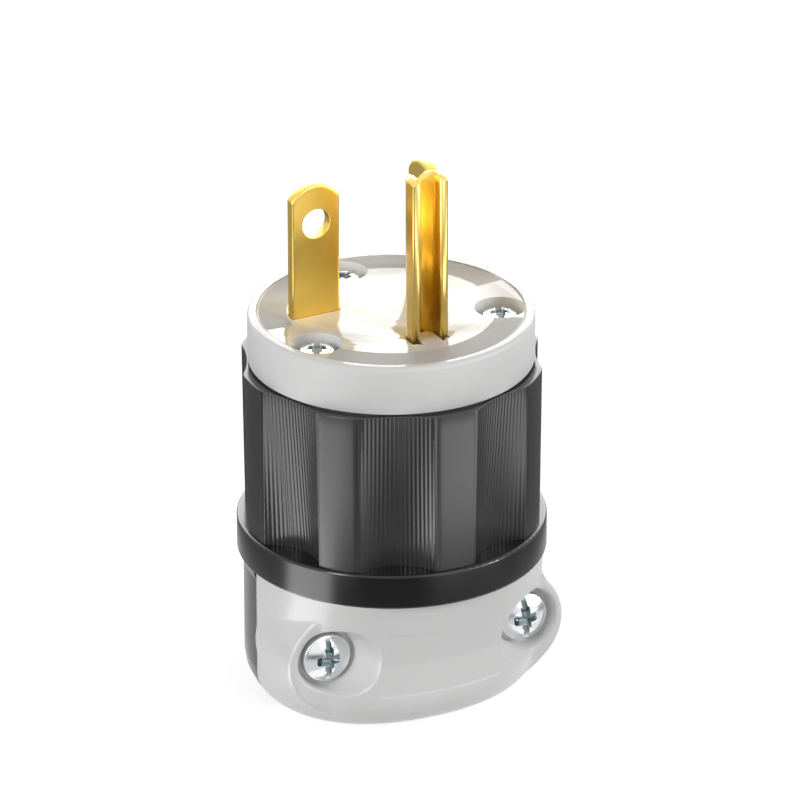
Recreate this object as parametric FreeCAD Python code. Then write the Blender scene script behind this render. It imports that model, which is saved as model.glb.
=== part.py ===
import FreeCAD, Part
import math
import os

# Straight blade plug for 20 A at 250 V: a white face with two flat blades and a U-shaped ground
# pin, a black fluted body, and a white cord clamp held by two screws.
# Millimetres. The origin is the centre of the flat cord end and +Z runs up to the blades.
# X runs along the line that joins the flat blades, and the ground pin lies towards -Y.
# The rear half stands turned a little against the face, as on the real plug.

Vec = FreeCAD.Vector
UP = Vec(0, 0, 1)
BACK = Vec(0, 1, 0)

# Heights along the body
BODY_HEIGHT = 49.9
FACE_SIDE = 5.87
SHADOW_GAP = 0.3
COLLAR_TOP = 23.42
COLLAR_HEIGHT = 4.44
COLLAR_SKIRT = 1.5

# Radii: everything round the body follows the radius of its rear half under the collar
BODY_RADIUS = 18.1
FACE_SET_IN = 0.75
FACE_ROUND = 0.7
FACE_NECK = 0.6
FACE_LIP = 0.12
FACE_LIP_WIDTH = 1.2
LAND_PROUD_TOP = 0.4
LAND_PROUD_FOOT = 0.2
COLLAR_PROUD = 0.77
COLLAR_ROUND = 0.35
SHELL_WALL = 4.4
FOOT_RISE = 5.45
FOOT_INSET = 5.8
FOOT_STEPS = 6

# Scalloped grip, and how far the rear half is turned against the face
REAR_TURN = -2.1
SCALLOPS = 8
SCALLOP_SPAN = 29.0
SCALLOP_DEPTH_TOP = 1.25
SCALLOP_DEPTH_FOOT = 2.7
RIBS = 19
RIB_DEPTH = 0.16

# Blades and ground pin
BLADE_WIDTH = 6.35
BLADE_THICKNESS = 1.52
BLADE_HEIGHT = 16.9
BLADE_TIP_RADIUS = 3.7
BLADE_BEVEL = 0.45
BLADE_EDGE = 0.3
BLADE_HOLE = 3.7
BLADE_HOLE_HEIGHT = 11.9
BLADE_LINE_Y = 3.64
BLADE_ACROSS_X = -8.55
BLADE_ALONG_X = 6.53
SHOULDER_WIDTH = 8.6
SHOULDER_HEIGHT = 2.0
GROUND_X = 0.18
GROUND_Y = -8.27
GROUND_WIDTH = 4.75
GROUND_DEPTH = 3.8
GROUND_WALL = 1.0
GROUND_HEIGHT = 21.0
GROUND_BEVEL = 0.6
GROUND_NOTCH = 1.6
TAB_FOOT = 29.2

# Terminals, one for each blade
TERMINAL_HEIGHT = 33.2
TERMINAL_SHIFT = -0.7
TERMINAL_HEAD_RADIUS = 2.8
TERMINAL_HEAD = 1.9
TERMINAL_SHANK = 1.4
TERMINAL_SLOT = 0.7
TERMINAL_SLOT_DEPTH = 0.8
TERMINAL_BEVEL = 0.5
PRESSURE_PLATE = 0.9
PRESSURE_PLATE_SIDE = 6.4
PRESSURE_PLATE_RISE = 2.9

# Terminal block
BLOCK_GAP = 0.3
BLOCK_FOOT = 28.0
CHAMBER_TOP = 38.0
CHAMBER_WIDTH = 7.6

# Face seat and assembly screws
SPIGOT_STEP = 1.65
SPIGOT_DEPTH = 2.0
ASSEMBLY_SET_IN = 0.6
ASSEMBLY_ANGLES = (90.0, 200.5, 336.0)
ASSEMBLY_HEAD_RADIUS = 2.1
ASSEMBLY_HEAD_SIDE = 1.1
ASSEMBLY_HEAD = 1.6
ASSEMBLY_SINK = 2.0
ASSEMBLY_WELL_RADIUS = 3.1
ASSEMBLY_SHANK = 1.6
ASSEMBLY_FOOT = 23.4
BOSS_RADIUS = 3.2
BOSS_FOOT = 20.5

# Cord clamp
CLAMP_PROUD = 0.05
CLAMP_FLAT_FOOT = 3.1
CLAMP_FLAT_MIDDLE = 2.7
CLAMP_FLAT_TOP = 0.5
CLAMP_MIDDLE = 9.9
CLAMP_POWER = 2.22
CLAMP_STEPS = 4
OVAL_POINTS = 36
CLAMP_WALL = 2.2
EAR_PROUD = 0.2
EAR_HEIGHT = 9.72
EAR_RADIUS = 6.66
EAR_REACH = 10.3
EAR_ROUND = 1.1
CLAMP_SCREW_SET_IN = 4.98
CLAMP_SCREW_HEIGHT = 10.35
CLAMP_SEAT_Y = -8.8
CLAMP_WELL_RADIUS = 3.6
CLAMP_WELL_FLARE = 0.28
CLAMP_HEAD_RADIUS = 3.1
CLAMP_HEAD_SIDE = 0.85
CLAMP_HEAD = 1.9
CLAMP_SHANK = 1.75
CLAMP_SCREW_END = 6.4
NUT_SIDE = 6.35
NUT_THICKNESS = 2.4
NUT_FRONT = 2.0

# Wiring space and cord entry
CHANNEL_WALL = 5.5
CHANNEL_FLOOR = 7.0
CHANNEL_TOP = 17.0
ENTRY_RADIUS = 7.2
JAW_RADIUS = 6.0
JAW_RIDGE = 1.3
JAW_RIDGES = 2

# Screw recesses, and how far each slot is turned
SLOT_WIDTH = 0.75
SLOT_DEPTH = 0.8
CROSS_SPAN = 3.9
CROSS_SHRINK = 1.2
CROSS_DEPTH = 1.2
ASSEMBLY_TURNS = (20.0, 63.0, 70.0)
CLAMP_TURNS = (90.0, 95.0)

# Fits
FIT = 0.1
PRESS_FIT = 0.03
PARTING = 0.1
CLEAR = 1.0

SHELL_TOP = BODY_HEIGHT - FACE_SIDE - SHADOW_GAP
SPIGOT_FOOT = SHELL_TOP - SPIGOT_DEPTH
COLLAR_FOOT = COLLAR_TOP - COLLAR_HEIGHT

FACE_RADIUS = BODY_RADIUS - FACE_SET_IN
SPIGOT_RADIUS = FACE_RADIUS - SPIGOT_STEP
LAND_RADIUS_TOP = BODY_RADIUS + LAND_PROUD_TOP
LAND_RADIUS_FOOT = BODY_RADIUS + LAND_PROUD_FOOT
COLLAR_RADIUS = BODY_RADIUS + COLLAR_PROUD
BORE_RADIUS = BODY_RADIUS - SHELL_WALL
BLOCK_RADIUS = BORE_RADIUS - BLOCK_GAP
ASSEMBLY_RING = BORE_RADIUS - ASSEMBLY_SET_IN

CLAMP_HALF_WIDTH = BODY_RADIUS + CLAMP_PROUD
CLAMP_DEPTH_FOOT = BODY_RADIUS - CLAMP_FLAT_FOOT
CLAMP_DEPTH_MIDDLE = BODY_RADIUS - CLAMP_FLAT_MIDDLE
CLAMP_DEPTH_TOP = BODY_RADIUS - CLAMP_FLAT_TOP
EAR_X = CLAMP_HALF_WIDTH + EAR_PROUD - EAR_RADIUS
CLAMP_SCREW_X = CLAMP_HALF_WIDTH - CLAMP_SCREW_SET_IN
CHANNEL_HALF_WIDTH = CLAMP_SCREW_X - CHANNEL_WALL
REACH = 2 * COLLAR_RADIUS


def block(x0, x1, y0, y1, z0, z1):
    """A box between two corners."""
    return Part.makeBox(x1 - x0, y1 - y0, z1 - z0, Vec(x0, y0, z0))


def rod(radius, x, y, z0, z1):
    """An upright cylinder."""
    return Part.makeCylinder(radius, z1 - z0, Vec(x, y, z0), UP)


def bar(radius, x, z, y0, y1):
    """A cylinder that lies along Y."""
    return Part.makeCylinder(radius, y1 - y0, Vec(x, y0, z), BACK)


def prism(points, rise):
    """A flat outline of straight sides, carried along a vector."""
    wire = Part.makePolygon(points + [points[0]])
    return Part.Face(wire).extrude(rise)


def turned(points):
    """A profile of (radius, height) points, turned once about Z."""
    outline = [Vec(r, 0, z) for r, z in points]
    face = Part.Face(Part.makePolygon(outline + [outline[0]]))
    return face.revolve(Vec(0, 0, 0), UP, 360)


def rounded(shape, radius, chosen):
    """Rounds the edges that a test picks."""
    edges = [edge for edge in shape.Edges if chosen(edge)]
    return shape.makeFillet(radius, edges)


def at_height(z):
    """A test for edges that lie level at one height."""
    def level(edge):
        box = edge.BoundBox
        return abs(box.ZMin - z) < 1e-4 and abs(box.ZMax - z) < 1e-4
    return level


def rear(shape):
    """A copy turned with the rear half of the plug."""
    return placed(shape, REAR_TURN, 0, 0)


def fuse(shapes):
    """Joins shapes into one solid with no seams left between them."""
    first = shapes[0]
    return first.multiFuse(shapes[1:]).removeSplitter()


def assembly_spots():
    """Centres of the three assembly screws."""
    for angle in ASSEMBLY_ANGLES:
        turn = math.radians(angle)
        yield ASSEMBLY_RING * math.cos(turn), ASSEMBLY_RING * math.sin(turn)


def save(shape, node):
    """Writes one piece and prints its size."""
    assert shape.isValid() and len(shape.Solids) == 1, node
    shape.exportStep("parts/" + node + ".step")
    print(node, "solids", len(shape.Solids), "volume", round(shape.Volume, 1))


# Metal pieces

def blade_standing():
    """A flat blade at the origin, broad face towards -Y, with its shoulder and terminal strip."""
    half = BLADE_WIDTH / 2
    y = -BLADE_THICKNESS / 2
    centre = BODY_HEIGHT + BLADE_HEIGHT - BLADE_TIP_RADIUS
    edge = BLADE_TIP_RADIUS - BLADE_BEVEL
    side = [(0, y), (edge, y), (BLADE_TIP_RADIUS, y + BLADE_BEVEL)]
    tip = turned(side + [(r, -z) for r, z in reversed(side)])
    tip.rotate(Vec(0, 0, 0), Vec(1, 0, 0), 90)
    tip.translate(Vec(0, 0, centre))
    flat = half - BLADE_EDGE
    thin = -y - BLADE_EDGE
    corners = [(half, thin), (flat, -y), (-flat, -y), (-half, thin)]
    corners += [(-across, -along) for across, along in corners]
    strip = prism([Vec(across, along, 0) for across, along in corners], Vec(0, 0, REACH))
    strip.translate(Vec(0, 0, centre - REACH))
    above = strip.copy()
    above.translate(Vec(0, 0, REACH))
    strip = strip.common(block(-half, half, y, -y, TAB_FOOT, centre))
    blade = fuse([strip, tip.common(above)])
    shoulder_half = SHOULDER_WIDTH / 2
    shoulder_top = SPIGOT_FOOT + SHOULDER_HEIGHT
    shoulder = block(-shoulder_half, shoulder_half, y, -y, SPIGOT_FOOT, shoulder_top)
    blade = fuse([blade, shoulder])
    hole = bar(BLADE_HOLE / 2, 0, BODY_HEIGHT + BLADE_HOLE_HEIGHT, -BLADE_WIDTH, BLADE_WIDTH)
    thread = bar(TERMINAL_SHANK + FIT, TERMINAL_SHIFT, TERMINAL_HEIGHT, -BLADE_WIDTH, BLADE_WIDTH)
    return blade.cut(hole).cut(thread)


def ground_pin():
    """The U-shaped pin, open towards -Y, with a bevelled and notched tip and a terminal strip."""
    half = GROUND_WIDTH / 2
    front = -GROUND_DEPTH / 2
    centre = GROUND_DEPTH / 2 - half
    top = BODY_HEIGHT + GROUND_HEIGHT
    foot = SPIGOT_FOOT
    body = block(-half, half, front, centre, foot, top)
    body = fuse([body, rod(half, 0, centre, foot, top)])
    body = body.makeChamfer(GROUND_BEVEL, [edge for edge in body.Edges if at_height(top)(edge)])
    inner_half = half - GROUND_WALL
    inner_back = GROUND_DEPTH / 2 - GROUND_WALL
    body = body.cut(block(-inner_half, inner_half, front - CLEAR, inner_back, foot - CLEAR, top + CLEAR))
    notch_half = GROUND_NOTCH + PRESS_FIT
    notch = [
        Vec(-notch_half, 0, top + PRESS_FIT),
        Vec(0, 0, top - GROUND_NOTCH),
        Vec(notch_half, 0, top + PRESS_FIT),
    ]
    body = body.cut(prism(notch, Vec(0, GROUND_DEPTH, 0)))
    strip = block(-half, half, inner_back, GROUND_DEPTH / 2, TAB_FOOT, foot + SHOULDER_HEIGHT)
    shoulder_half = SHOULDER_WIDTH / 2
    shoulder_top = foot + SHOULDER_HEIGHT
    shoulder = block(-shoulder_half, shoulder_half, inner_back, GROUND_DEPTH / 2, foot, shoulder_top)
    pin = fuse([body, strip, shoulder])
    thread = bar(TERMINAL_SHANK + FIT, 0, TERMINAL_HEIGHT, -GROUND_DEPTH, GROUND_DEPTH)
    return pin.cut(thread)


def terminal_set(strip_face, strip_thickness):
    """Pressure plate and screw that clamp a wire on a strip, facing -Y, at the origin's X."""
    plate_front = strip_face - PRESS_FIT - PRESSURE_PLATE
    side = PRESSURE_PLATE_SIDE / 2
    low = TERMINAL_HEIGHT - side
    high = TERMINAL_HEIGHT + PRESSURE_PLATE_RISE
    plate = block(-side, side, plate_front, plate_front + PRESSURE_PLATE, low, high)
    plate = plate.cut(bar(TERMINAL_SHANK + FIT, 0, TERMINAL_HEIGHT, plate_front - CLEAR, strip_face))
    head_back = plate_front - PRESS_FIT
    head_front = head_back - TERMINAL_HEAD
    head = bar(TERMINAL_HEAD_RADIUS, 0, TERMINAL_HEIGHT, head_front, head_back)
    edges = [edge for edge in head.Edges if abs(edge.BoundBox.YMax - head_front) < 1e-4]
    head = head.makeChamfer(TERMINAL_BEVEL, edges)
    end = strip_face + strip_thickness + PRESS_FIT
    shank = bar(TERMINAL_SHANK, 0, TERMINAL_HEIGHT, head_back, end)
    screw = fuse([head, shank])
    slot_half = TERMINAL_SLOT / 2
    reach = TERMINAL_HEAD_RADIUS * 2
    floor = head_front + TERMINAL_SLOT_DEPTH
    slot = block(-reach, reach, head_front - CLEAR, floor, -slot_half, slot_half)
    slot.translate(Vec(0, 0, TERMINAL_HEIGHT))
    return plate, screw.cut(slot)


def placed(shape, turn, x, y):
    """A copy turned about Z and moved across the face."""
    moved = shape.copy()
    moved.rotate(Vec(0, 0, 0), UP, turn)
    moved.translate(Vec(x, y, 0))
    return moved


def metal():
    """Blades, ground pin and their terminals, by node."""
    pieces = {}
    blade = blade_standing()
    blade_plate, blade_screw = terminal_set(-BLADE_THICKNESS / 2, BLADE_THICKNESS)
    blade_plate.translate(Vec(TERMINAL_SHIFT, 0, 0))
    blade_screw.translate(Vec(TERMINAL_SHIFT, 0, 0))
    flat = (180, BLADE_ACROSS_X, BLADE_LINE_Y)
    edgeways = (90, BLADE_ALONG_X, BLADE_LINE_Y)
    for name, place in (("across", flat), ("edgeways", edgeways)):
        pieces["blade_" + name] = placed(blade, *place)
        pieces["pressure_plate_" + name] = placed(blade_plate, *place)
        pieces["terminal_screw_" + name] = placed(blade_screw, *place)
    pieces["ground_pin"] = placed(ground_pin(), 0, GROUND_X, GROUND_Y)
    strip_face = GROUND_DEPTH / 2 - GROUND_WALL
    plate, screw = terminal_set(strip_face, GROUND_WALL)
    pieces["pressure_plate_ground"] = placed(plate, 0, GROUND_X, GROUND_Y)
    pieces["terminal_screw_ground"] = placed(screw, 0, GROUND_X, GROUND_Y)
    return pieces


def driven_head(radius, side, height, span, slot_turn):
    """A domed screw head on Z, standing on height 0, with a slot and a cross in its top."""
    rise = height - side
    dome_radius = (radius ** 2 + rise ** 2) / (2 * rise)
    dome = Part.makeSphere(dome_radius, Vec(0, 0, height - dome_radius))
    head = rod(radius, 0, 0, 0, height).common(dome)
    floor = height - SLOT_DEPTH
    half = SLOT_WIDTH / 2
    slot = block(-radius, radius, -half, half, floor, height + CLEAR)
    slot.rotate(Vec(0, 0, 0), UP, slot_turn)
    arm = span / 2
    tip = SLOT_WIDTH / 2
    outline = [Vec(-arm, 0, height), Vec(arm, 0, height), Vec(tip, 0, height - CROSS_DEPTH)]
    outline.append(Vec(-tip, 0, height - CROSS_DEPTH))
    flute = prism(outline, Vec(0, SLOT_WIDTH, 0))
    flute.translate(Vec(0, -half, 0))
    crossing = flute.copy()
    crossing.rotate(Vec(0, 0, 0), UP, 90)
    cutters = [slot]
    for cutter in (flute, crossing):
        cutter.rotate(Vec(0, 0, 0), UP, slot_turn)
        cutters.append(cutter)
    return head.cut(cutters)


def assembly_screw(x, y, slot_turn):
    """One of the three long screws that pull the face down on the body."""
    seat = BODY_HEIGHT - ASSEMBLY_SINK
    span = CROSS_SPAN - CROSS_SHRINK
    head = driven_head(ASSEMBLY_HEAD_RADIUS, ASSEMBLY_HEAD_SIDE, ASSEMBLY_HEAD, span, slot_turn)
    head.translate(Vec(x, y, seat))
    shank = rod(ASSEMBLY_SHANK, x, y, ASSEMBLY_FOOT, seat)
    return fuse([head, shank])


def clamp_screw(x, slot_turn):
    """One of the two screws that close the cord clamp, along Y."""
    head = driven_head(CLAMP_HEAD_RADIUS, CLAMP_HEAD_SIDE, CLAMP_HEAD, CROSS_SPAN, slot_turn)
    head.rotate(Vec(0, 0, 0), Vec(1, 0, 0), 90)
    head.translate(Vec(x, CLAMP_SEAT_Y - PRESS_FIT, CLAMP_SCREW_HEIGHT))
    shank = bar(CLAMP_SHANK, x, CLAMP_SCREW_HEIGHT, CLAMP_SEAT_Y - PRESS_FIT, CLAMP_SCREW_END)
    return rear(fuse([head, shank]))


def clamp_nut(x):
    """The square nut in its pocket in the black half."""
    half = NUT_SIDE / 2
    back = NUT_FRONT + NUT_THICKNESS
    z = CLAMP_SCREW_HEIGHT
    nut = block(x - half, x + half, NUT_FRONT, back, z - half, z + half)
    return rear(nut.cut(bar(CLAMP_SHANK + PRESS_FIT, x, z, NUT_FRONT - CLEAR, back + CLEAR)))


# Moulded pieces

def face_plate():
    """The white face: lipped rim, blade slots, screw wells, and the spigot that seats it."""
    rim_foot = SHELL_TOP + SHADOW_GAP
    lip = BODY_HEIGHT + FACE_LIP
    rim = rounded(rod(FACE_RADIUS, 0, 0, rim_foot, lip), FACE_ROUND, at_height(lip))
    rim = rim.cut(rod(FACE_RADIUS - FACE_LIP_WIDTH, 0, 0, BODY_HEIGHT, lip + CLEAR))
    spigot = rod(SPIGOT_RADIUS, 0, 0, SPIGOT_FOOT, BODY_HEIGHT - FACE_SIDE / 2)
    seat = rod(FACE_RADIUS - FACE_NECK, 0, 0, SHELL_TOP, BODY_HEIGHT - FACE_SIDE / 2)
    face = fuse([rim, seat, spigot])
    cutters = []
    foot = SPIGOT_FOOT - CLEAR
    top = BODY_HEIGHT + CLEAR
    for x, y in assembly_spots():
        cutters.append(rod(ASSEMBLY_WELL_RADIUS, x, y, BODY_HEIGHT - ASSEMBLY_SINK, top))
        cutters.append(rod(ASSEMBLY_SHANK + FIT, x, y, foot, top))
    half = BLADE_WIDTH / 2 + FIT
    thin = BLADE_THICKNESS / 2 + FIT
    wide = SHOULDER_WIDTH / 2 + FIT
    shoulder_top = SPIGOT_FOOT + SHOULDER_HEIGHT + FIT
    slot = block(-half, half, -thin, thin, foot, top)
    pocket = block(-wide, wide, -thin, thin, foot, shoulder_top)
    for turn, x in ((0, BLADE_ACROSS_X), (90, BLADE_ALONG_X)):
        cutters.append(placed(slot, turn, x, BLADE_LINE_Y))
        cutters.append(placed(pocket, turn, x, BLADE_LINE_Y))
    cutters.append(ground_opening(foot, top))
    back = GROUND_DEPTH / 2 + FIT
    front = back - GROUND_WALL - 2 * FIT
    shoulder = block(-wide, wide, front, back, foot, shoulder_top)
    cutters.append(placed(shoulder, 0, GROUND_X, GROUND_Y))
    return face.cut(cutters)


def ground_opening(low, high):
    """The cutter for the ground pin: its U outline, grown by the fit round a core left standing."""
    half = GROUND_WIDTH / 2 + FIT
    centre = (GROUND_DEPTH - GROUND_WIDTH) / 2
    front = -GROUND_DEPTH / 2 - FIT
    outline = fuse([block(-half, half, front, centre, low, high), rod(half, 0, centre, low, high)])
    core_half = GROUND_WIDTH / 2 - GROUND_WALL - FIT
    core_back = GROUND_DEPTH / 2 - GROUND_WALL - FIT
    core = block(-core_half, core_half, front - CLEAR, core_back, low - CLEAR, high + CLEAR)
    return placed(outline.cut(core), 0, GROUND_X, GROUND_Y)


def terminal_block():
    """The white block under the face that holds the terminals in three open chambers."""
    body = rod(BLOCK_RADIUS, 0, 0, BLOCK_FOOT, SPIGOT_FOOT)
    low = BLOCK_FOOT - CLEAR
    high = SPIGOT_FOOT + CLEAR
    cutters = [rod(ASSEMBLY_SHANK + FIT, x, y, low, high) for x, y in assembly_spots()]
    half = BLADE_WIDTH / 2 + FIT
    thin = BLADE_THICKNESS / 2 + FIT
    wide = CHAMBER_WIDTH / 2
    slot = block(-half, half, -thin, thin, low, high)
    left = TERMINAL_SHIFT - wide
    right = TERMINAL_SHIFT + wide
    chamber = block(left, right, -REACH, thin, low, CHAMBER_TOP)
    for turn, x in ((180, BLADE_ACROSS_X), (90, BLADE_ALONG_X)):
        cutters.append(placed(slot, turn, x, BLADE_LINE_Y))
        cutters.append(placed(chamber, turn, x, BLADE_LINE_Y))
    half = GROUND_WIDTH / 2 + FIT
    back = GROUND_DEPTH / 2 + FIT
    front = back - GROUND_WALL - 2 * FIT
    slot = block(-half, half, front, back, low, high)
    chamber = block(-wide, wide, -REACH, back, low, CHAMBER_TOP)
    cutters.append(placed(slot, 0, GROUND_X, GROUND_Y))
    cutters.append(placed(chamber, 0, GROUND_X, GROUND_Y))
    return body.cut(cutters)


def scallop_outline(z):
    """Points of one scallop's section: a shallow arc folded into fine ribs, closed outside."""
    share = (z - COLLAR_TOP) / (SHELL_TOP - COLLAR_TOP)
    land = LAND_RADIUS_FOOT + share * (LAND_RADIUS_TOP - LAND_RADIUS_FOOT)
    deep = land - SCALLOP_DEPTH_FOOT - share * (SCALLOP_DEPTH_TOP - SCALLOP_DEPTH_FOOT)
    half_angle = math.radians(SCALLOP_SPAN / 2)
    chord = land * math.cos(half_angle)
    half_width = land * math.sin(half_angle)
    sag = chord - deep
    curve = (half_width ** 2 + sag ** 2) / (2 * sag)
    sweep = math.asin(half_width / curve)
    steps = 2 * RIBS
    points = []
    for step in range(steps + 1):
        turn = sweep * (2 * step / steps - 1)
        depth = curve - (step % 2) * RIB_DEPTH
        points.append(Vec(deep + curve - depth * math.cos(turn), curve * math.sin(turn), z))
    outside = COLLAR_RADIUS + CLEAR
    points.append(Vec(outside, half_width, z))
    points.append(Vec(outside, -half_width, z))
    return points


def faceted(low, high):
    """A solid between two outlines of as many points, its sides split into flat triangles."""
    faces = [Part.Face(Part.makePolygon(points + [points[0]])) for points in (low, high)]
    for index, corner in enumerate(low):
        beside = (index + 1) % len(low)
        for triangle in ((corner, low[beside], high[beside]), (corner, high[beside], high[index])):
            faces.append(Part.Face(Part.makePolygon(list(triangle) + [triangle[0]])))
    solid = Part.Solid(Part.Shell(faces))
    if solid.Volume < 0:
        solid.reverse()
    return solid


def scallop_cutters():
    """The eight ribbed scallops of the grip, each ruled between its two end sections."""
    cutter = faceted(scallop_outline(COLLAR_TOP), scallop_outline(SHELL_TOP + CLEAR))
    for index in range(SCALLOPS):
        copy = cutter.copy()
        copy.rotate(Vec(0, 0, 0), UP, REAR_TURN + (index + 0.5) * 360 / SCALLOPS)
        yield copy


def entry_cutters():
    """The cord entry: a round hole with ridges left in it, and the channel above it."""
    cutters = [rod(JAW_RADIUS, 0, 0, -CLEAR, CHANNEL_FLOOR + CLEAR)]
    pitch = CHANNEL_FLOOR / (JAW_RIDGES + 1)
    low = -CLEAR
    for index in range(JAW_RIDGES + 1):
        high = (index + 1) * pitch - JAW_RIDGE / 2
        if index == JAW_RIDGES:
            high = CHANNEL_FLOOR + CLEAR
        cutters.append(rod(ENTRY_RADIUS, 0, 0, low, high))
        low = high + JAW_RIDGE
    return cutters


def body_shell():
    """The black moulding: scalloped grip, collar, and the rear half of the cord clamp."""
    grip_height = SHELL_TOP - COLLAR_TOP
    grip_foot = Vec(0, 0, COLLAR_TOP)
    grip = Part.makeCone(LAND_RADIUS_FOOT, LAND_RADIUS_TOP, grip_height, grip_foot)
    grip = grip.cut(list(scallop_cutters()))
    outer = fuse([grip, collar(), rear(tail())])
    cutters = [
        rod(SPIGOT_RADIUS + FIT, 0, 0, SPIGOT_FOOT, SHELL_TOP + CLEAR),
        rod(BORE_RADIUS, 0, 0, CHANNEL_TOP, SHELL_TOP),
        rear(channel()),
    ]
    cutters.extend(entry_cutters())
    cutters.extend(rear(well) for well in nut_wells())
    shell = outer.cut(cutters)
    wall = rod(BORE_RADIUS + CLEAR, 0, 0, BOSS_FOOT, BLOCK_FOOT)
    spots = list(assembly_spots())
    bosses = [rod(BOSS_RADIUS, x, y, BOSS_FOOT, BLOCK_FOOT).common(wall) for x, y in spots]
    shell = fuse([shell] + bosses)
    tapped = ASSEMBLY_SHANK + PRESS_FIT
    holes = [rod(tapped, x, y, ASSEMBLY_FOOT, BLOCK_FOOT + CLEAR) for x, y in spots]
    grooves = [rod(ASSEMBLY_SHANK + FIT, x, y, BLOCK_FOOT, SHELL_TOP) for x, y in spots]
    return shell.cut(holes + grooves)


def collar():
    """The smooth ring round the body, its two rims rounded."""
    ring = rod(COLLAR_RADIUS, 0, 0, COLLAR_FOOT, COLLAR_TOP)
    ring = rounded(ring, COLLAR_ROUND, at_height(COLLAR_FOOT))
    return rounded(ring, COLLAR_ROUND, at_height(COLLAR_TOP))


def foot_inset(z):
    """How far the rounded cord end stands inside the full outline at a height."""
    drop = max(0, 1 - z / FOOT_RISE)
    return FOOT_INSET * (1 - math.sqrt(1 - drop ** 2))


def foot_heights():
    """Heights that follow the rounding of the cord end, closer together near the foot."""
    for step in range(FOOT_STEPS + 1):
        yield FOOT_RISE * (1 - math.cos(math.radians(90 * step / FOOT_STEPS)))


def tail():
    """The rear half under the collar, rounded at the foot, with a skirt below the collar."""
    side = [(BODY_RADIUS - foot_inset(z), z) for z in foot_heights()]
    neck = (BODY_RADIUS, COLLAR_FOOT - COLLAR_SKIRT)
    skirt = (COLLAR_RADIUS - COLLAR_ROUND, COLLAR_FOOT)
    inner = [(0, COLLAR_FOOT + COLLAR_ROUND), (0, 0)]
    rim = (skirt[0], COLLAR_FOOT + COLLAR_ROUND)
    whole = turned(side + [neck, skirt, rim] + inner)
    return whole.common(block(-REACH, REACH, 0, REACH, 0, BODY_HEIGHT))


def nut_wells():
    """Cutters for the two clamp screws and their nuts: square wells open at the back."""
    half = NUT_SIDE / 2 + FIT
    z = CLAMP_SCREW_HEIGHT
    for x in (-CLAMP_SCREW_X, CLAMP_SCREW_X):
        yield bar(CLAMP_SHANK + FIT, x, z, -CLEAR, NUT_FRONT + CLEAR)
        yield block(x - half, x + half, NUT_FRONT, REACH, z - half, z + half)


def channel():
    """The flat-sided space between the clamp screws, above the cord entry."""
    half = CHANNEL_HALF_WIDTH
    high = CHANNEL_TOP + CLEAR
    box = block(-half, half, -REACH, REACH, CHANNEL_FLOOR, high)
    return box.common(rod(BORE_RADIUS, 0, 0, CHANNEL_FLOOR, high))


def clamp_depth(z):
    """How far the white half reaches forward at a height, before its foot is rounded."""
    if z < CLAMP_MIDDLE:
        return CLAMP_DEPTH_FOOT + z / CLAMP_MIDDLE * (CLAMP_DEPTH_MIDDLE - CLAMP_DEPTH_FOOT)
    share = (z - CLAMP_MIDDLE) / (COLLAR_FOOT - CLAMP_MIDDLE)
    return CLAMP_DEPTH_MIDDLE + share * (CLAMP_DEPTH_TOP - CLAMP_DEPTH_MIDDLE)


def clamp_oval(z, inset):
    """The rounded section of the white half at a height, as a closed wire."""
    width = CLAMP_HALF_WIDTH - foot_inset(z) - inset
    depth = clamp_depth(z) - foot_inset(z) - inset
    points = []
    for index in range(OVAL_POINTS):
        turn = 2 * math.pi * index / OVAL_POINTS
        x = math.copysign(abs(math.cos(turn)) ** (2 / CLAMP_POWER), math.cos(turn))
        y = math.copysign(abs(math.sin(turn)) ** (2 / CLAMP_POWER), math.sin(turn))
        points.append(Vec(width * x, depth * y, z))
    curve = Part.BSplineCurve()
    curve.interpolate(Points=points, PeriodicFlag=True)
    return Part.Wire(curve.toShape())


def clamp_oval_body(inset):
    """The white half's outer form, or its hollow when inset by a wall, as stacked sections."""
    heights = list(foot_heights())
    rise = COLLAR_FOOT - FOOT_RISE
    heights.extend(FOOT_RISE + rise * (step + 1) / CLAMP_STEPS for step in range(CLAMP_STEPS))
    return Part.makeLoft([clamp_oval(z, inset) for z in heights], True, True)


def cord_clamp():
    """The white front half of the clamp: rounded body, two ears, screw wells and jaw ridges."""
    ears = []
    for x in (-EAR_X, EAR_X):
        ear = bar(EAR_RADIUS, x, EAR_HEIGHT, -EAR_REACH, 0)
        rims = [edge for edge in ear.Edges if abs(edge.BoundBox.YMax + EAR_REACH) < 1e-4]
        ears.append(ear.makeFillet(EAR_ROUND, rims))
    front = block(-REACH, REACH, -REACH, -PARTING, 0, COLLAR_FOOT - PRESS_FIT)
    clamp = clamp_oval_body(0).multiFuse(ears).common(front)
    hollow = clamp_oval_body(CLAMP_WALL)
    upper = rod(BORE_RADIUS, 0, 0, CHANNEL_TOP, COLLAR_FOOT + CLEAR)
    cutters = entry_cutters() + [channel().common(hollow), upper.common(hollow)]
    for x in (-CLAMP_SCREW_X, CLAMP_SCREW_X):
        cutters.extend(screw_well(x))
    return rear(clamp.cut(cutters))


def screw_well(x):
    """Cutters for one clamp screw: its hole, and the dished well that its head sits in."""
    seat = Vec(x, CLAMP_SEAT_Y, CLAMP_SCREW_HEIGHT)
    depth = BODY_RADIUS + CLAMP_SEAT_Y
    wide = CLAMP_WELL_RADIUS + depth * CLAMP_WELL_FLARE
    well = Part.makeCone(CLAMP_WELL_RADIUS, wide, depth, seat, Vec(0, -1, 0))
    hole = bar(CLAMP_SHANK + FIT, x, CLAMP_SCREW_HEIGHT, CLAMP_SEAT_Y - CLEAR, CLEAR)
    return [hole, well]


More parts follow.
